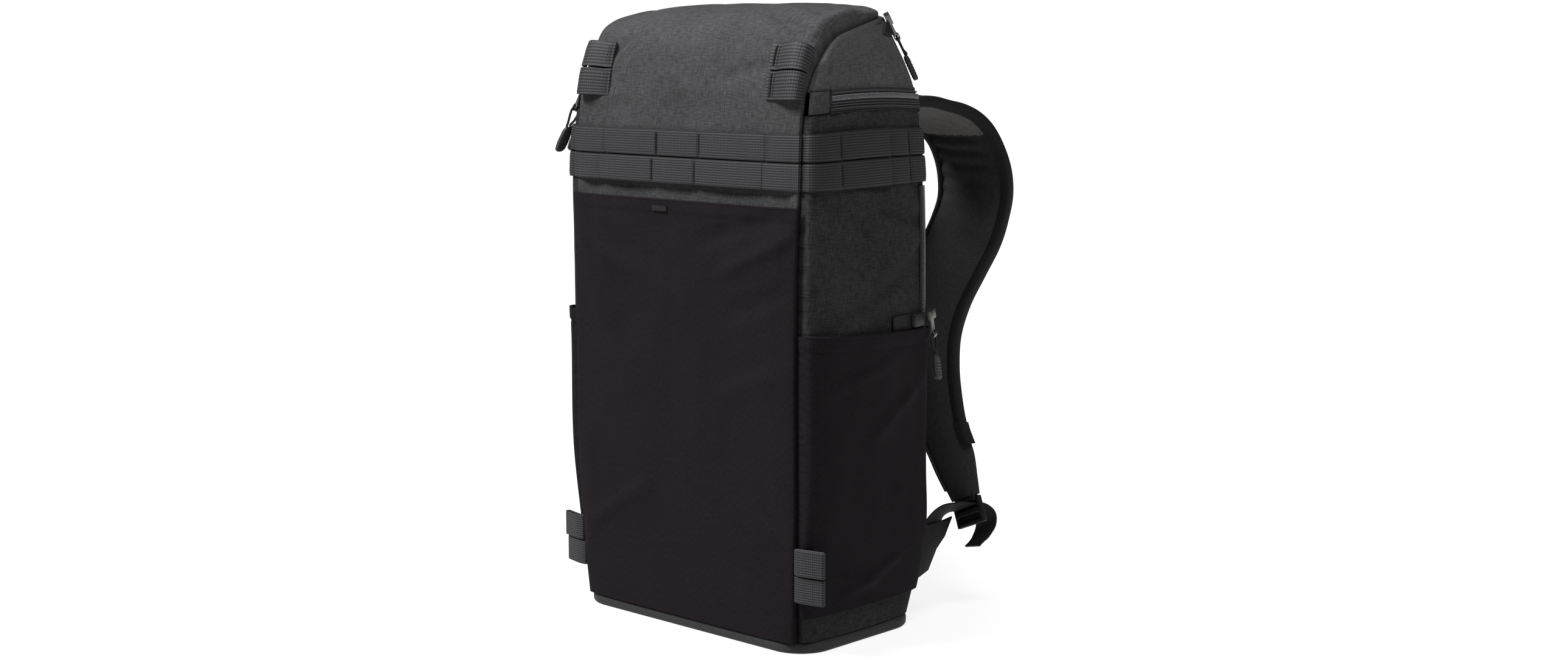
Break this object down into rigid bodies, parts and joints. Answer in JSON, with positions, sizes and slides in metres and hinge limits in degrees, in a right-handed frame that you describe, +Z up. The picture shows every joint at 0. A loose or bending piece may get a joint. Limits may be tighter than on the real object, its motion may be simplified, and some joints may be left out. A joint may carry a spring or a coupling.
{
  "type": "camera backpack",
  "caption": "Slim upright camera backpack with a zipped wrap-over lid, stretch front and side pockets, webbing rows, corner gear loops and padded shoulder straps.",
  "frame": {"origin": "middle of the base, on the floor", "axes": "+Z up, the front faces -Y, the shoulder straps are on +Y, +X is on the right seen from the front"},
  "size_m": [0.2768, 0.2757, 0.4615],
  "materials": {
    "shell_cloth": "charcoal heathered plain weave, matte",
    "back_cloth": "dark grey spacer cloth, matte",
    "stretch_cloth": "near-black stretch knit, matte with a soft sheen",
    "webbing": "dark grey ribbed webbing, matte",
    "zip_tape": "near-black woven tape with a nylon coil",
    "slider_metal": "worn silver-brass, semi-gloss",
    "pull_cord": "thin braided cord",
    "grip_rubber": "moulded rubber grip, satin",
    "black_plastic": "moulded acetal, satin"
  },
  "bodies": {
    "root": {"back_panel": "back_cloth", "base_binding": "webbing", "base_panel": "webbing", "front_panel": "shell_cloth", "front_pocket": "stretch_cloth", "front_webbing_lower": "webbing", "front_webbing_upper": "webbing", "ladder_lock_left": "black_plastic", "ladder_lock_right": "black_plastic", "lid_back": "shell_cloth", "lid_gusset_left": "shell_cloth", "lid_gusset_right": "shell_cloth", "lid_pull_a_cord": "pull_cord", "lid_pull_a_grip": "grip_rubber", "lid_pull_a_slider": "slider_metal", "lid_pull_b_cord": "pull_cord", "lid_pull_b_grip": "grip_rubber", "lid_pull_b_slider": "slider_metal", "lid_zip": "zip_tape", "lower_loop_left_a": "webbing", "lower_loop_left_b": "webbing", "lower_loop_right_a": "webbing", "lower_loop_right_b": "webbing", "pocket_tab": "webbing", "shoulder_strap_left": "shell_cloth", "shoulder_strap_right": "shell_cloth", "side_buckle": "black_plastic", "side_panel_left": "shell_cloth", "side_panel_right": "shell_cloth", "side_pocket_left": "stretch_cloth", "side_pocket_right": "stretch_cloth", "side_pull_cord": "pull_cord", "side_pull_grip": "grip_rubber", "side_pull_slider": "slider_metal", "side_strap": "webbing", "side_webbing_left_lower": "webbing", "side_webbing_left_upper": "webbing", "side_webbing_right_lower": "webbing", "side_webbing_right_upper": "webbing", "side_zip": "zip_tape", "strap_webbing_left": "webbing", "strap_webbing_right": "webbing", "strap_wing_left": "webbing", "strap_wing_right": "webbing", "top_garage_left": "webbing", "top_garage_right": "webbing", "top_pull_cord": "pull_cord", "top_pull_grip": "grip_rubber", "top_pull_slider": "slider_metal", "top_zip": "zip_tape", "upper_loop_left_a": "webbing", "upper_loop_left_b": "webbing", "upper_loop_right_a": "webbing", "upper_loop_right_b": "webbing", "zip_garage_left": "shell_cloth", "zip_garage_right": "shell_cloth"}
  },
  "joints": []
}
